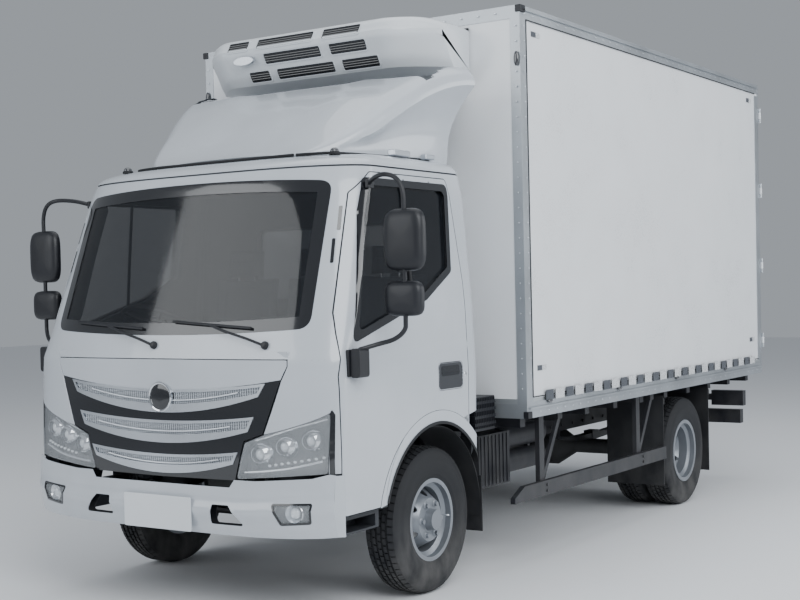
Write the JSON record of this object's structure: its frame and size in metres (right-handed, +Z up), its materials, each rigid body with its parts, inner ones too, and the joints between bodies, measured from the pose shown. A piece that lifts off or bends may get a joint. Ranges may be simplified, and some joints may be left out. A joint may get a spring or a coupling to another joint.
{
  "type": "refrigerated box truck",
  "caption": "Light refrigerated truck: tilting cab with opening doors and front panel, insulated load box with folding rear doors, steered front wheels.",
  "frame": {"origin": "on the ground at mid length and mid width", "axes": "+X to the truck's left, -Y to its front, +Z up"},
  "size_m": [2.68, 5.994, 3.182],
  "materials": {
    "white_paint": "gloss",
    "box_panel": "satin",
    "box_floor": "satin",
    "edge_metal": "satin",
    "chassis_paint": "satin",
    "engine_metal": "matte",
    "exhaust_steel": "matte",
    "tank_metal": "satin",
    "black_rubber": "matte",
    "black_plastic": "matte",
    "seat_fabric": "matte",
    "window_glass": "gloss",
    "lamp_glass": "gloss",
    "bright_trim": "satin",
    "tyre_rubber": "matte",
    "rim_steel": "satin"
  },
  "bodies": {
    "chassis": {"chassis_frame": "chassis_paint", "box_bearers": "chassis_paint", "front_axle": "chassis_paint", "rear_axle": "chassis_paint", "leaf_springs": "chassis_paint", "engine_block": "engine_metal", "drive_shaft": "chassis_paint", "exhaust": "exhaust_steel", "fuel_tank": "tank_metal", "battery_box": "chassis_paint", "side_guards": "chassis_paint", "underrun_bar": "chassis_paint", "mudguards": "black_rubber", "air_intake": "black_plastic", "box_floor": "box_floor", "box_roof": "box_panel", "box_front_wall": "box_panel", "box_wall_left": "box_panel", "box_wall_right": "box_panel", "box_frame": "edge_metal", "cooling_unit": "white_paint"},
    "cab": {"cab_floor": "black_plastic", "cab_front": "white_paint", "cab_side_left": "white_paint", "cab_side_right": "white_paint", "cab_rear_wall": "white_paint", "cab_roof": "white_paint", "cab_glass": "window_glass", "wind_deflector": "white_paint", "headlamps": "lamp_glass", "front_bumper": "white_paint", "seats": "seat_fabric", "dashboard": "black_plastic", "wipers": "black_plastic"},
    "front_panel": {"front_panel": "white_paint", "grille": "black_plastic", "grille_bars": "bright_trim"},
    "door_left": {"door_left": "white_paint", "door_glass_left": "window_glass", "mirrors_left": "black_plastic"},
    "door_right": {"door_right": "white_paint", "door_glass_right": "window_glass", "mirrors_right": "black_plastic"},
    "steering_wheel": {"steering_wheel": "black_plastic"},
    "rear_door_left": {"rear_door_left": "box_panel"},
    "rear_door_right": {"rear_door_right": "box_panel"},
    "knuckle_left": {"knuckle_left": "chassis_paint"},
    "knuckle_right": {"knuckle_right": "chassis_paint"},
    "tie_rod": {"tie_rod": "chassis_paint"},
    "wheel_front_left": {"tyre_front_left": "tyre_rubber", "rim_front_left": "rim_steel"},
    "wheel_front_right": {"tyre_front_right": "tyre_rubber", "rim_front_right": "rim_steel"},
    "wheels_rear_left": {"tyres_rear_left": "tyre_rubber", "rims_rear_left": "rim_steel"},
    "wheels_rear_right": {"tyres_rear_right": "tyre_rubber", "rims_rear_right": "rim_steel"}
  },
  "joints": [
    {"name": "cab_tilt", "type": "hinge", "parent": "chassis", "child": "cab", "pos_m": [0, -2.72, 0.655], "axis": [1, 0, 0], "range_deg": [0, 45]},
    {"name": "front_panel_hinge", "type": "hinge", "parent": "cab", "child": "front_panel", "pos_m": [0, -2.936, 1.272], "axis": [-1, 0, 0], "range_deg": [0, 75]},
    {"name": "door_left_hinge", "type": "hinge", "parent": "cab", "child": "door_left", "pos_m": [1.004, -2.785, 1.2], "axis": [0, 0, -1], "range_deg": [0, 70]},
    {"name": "door_right_hinge", "type": "hinge", "parent": "cab", "child": "door_right", "pos_m": [-1.004, -2.785, 1.2], "axis": [0, 0, 1], "range_deg": [0, 70]},
    {"name": "rear_door_left_hinge", "type": "hinge", "parent": "chassis", "child": "rear_door_left", "pos_m": [1.16, 2.9875, 2], "axis": [0, 0, -1], "range_deg": [0, 270]},
    {"name": "rear_door_right_hinge", "type": "hinge", "parent": "chassis", "child": "rear_door_right", "pos_m": [-1.16, 2.9875, 2], "axis": [0, 0, 1], "range_deg": [0, 270]},
    {"name": "steer_left", "type": "hinge", "parent": "chassis", "child": "knuckle_left", "pos_m": [0.705, -1.925, 0.3875], "axis": [0, 0, 1], "range_deg": [-35, 35]},
    {"name": "steer_right", "type": "hinge", "parent": "chassis", "child": "knuckle_right", "pos_m": [-0.705, -1.925, 0.3875], "axis": [0, 0, 1], "range_deg": [-36, 36]},
    {"name": "tie_rod_pivot", "type": "hinge", "parent": "knuckle_left", "child": "tie_rod", "pos_m": [0.705, -1.74, 0.287], "axis": [0, 0, 1], "range_deg": [-36, 36]},
    {"name": "steering_wheel_turn", "type": "hinge", "parent": "cab", "child": "steering_wheel", "pos_m": [-0.5, -2.395, 1.45], "axis": [0, 0.4384, 0.8988], "range_deg": [-540, 540]},
    {"name": "roll_front_left", "type": "hinge", "parent": "knuckle_left", "child": "wheel_front_left", "pos_m": [0.8775, -1.925, 0.3875], "axis": [1, 0, 0], "continuous": true},
    {"name": "roll_front_right", "type": "hinge", "parent": "knuckle_right", "child": "wheel_front_right", "pos_m": [-0.8775, -1.925, 0.3875], "axis": [1, 0, 0], "continuous": true},
    {"name": "roll_rear_left", "type": "hinge", "parent": "chassis", "child": "wheels_rear_left", "pos_m": [0.872, 1.435, 0.3875], "axis": [1, 0, 0], "continuous": true},
    {"name": "roll_rear_right", "type": "hinge", "parent": "chassis", "child": "wheels_rear_right", "pos_m": [-0.872, 1.435, 0.3875], "axis": [1, 0, 0], "continuous": true}
  ],
  "couplings": [
    {"joint": "steer_right", "follows": "steer_left", "ratio": 1},
    {"joint": "tie_rod_pivot", "follows": "steer_left", "ratio": -1},
    {"joint": "steering_wheel_turn", "follows": "steer_left", "ratio": 15}
  ]
}
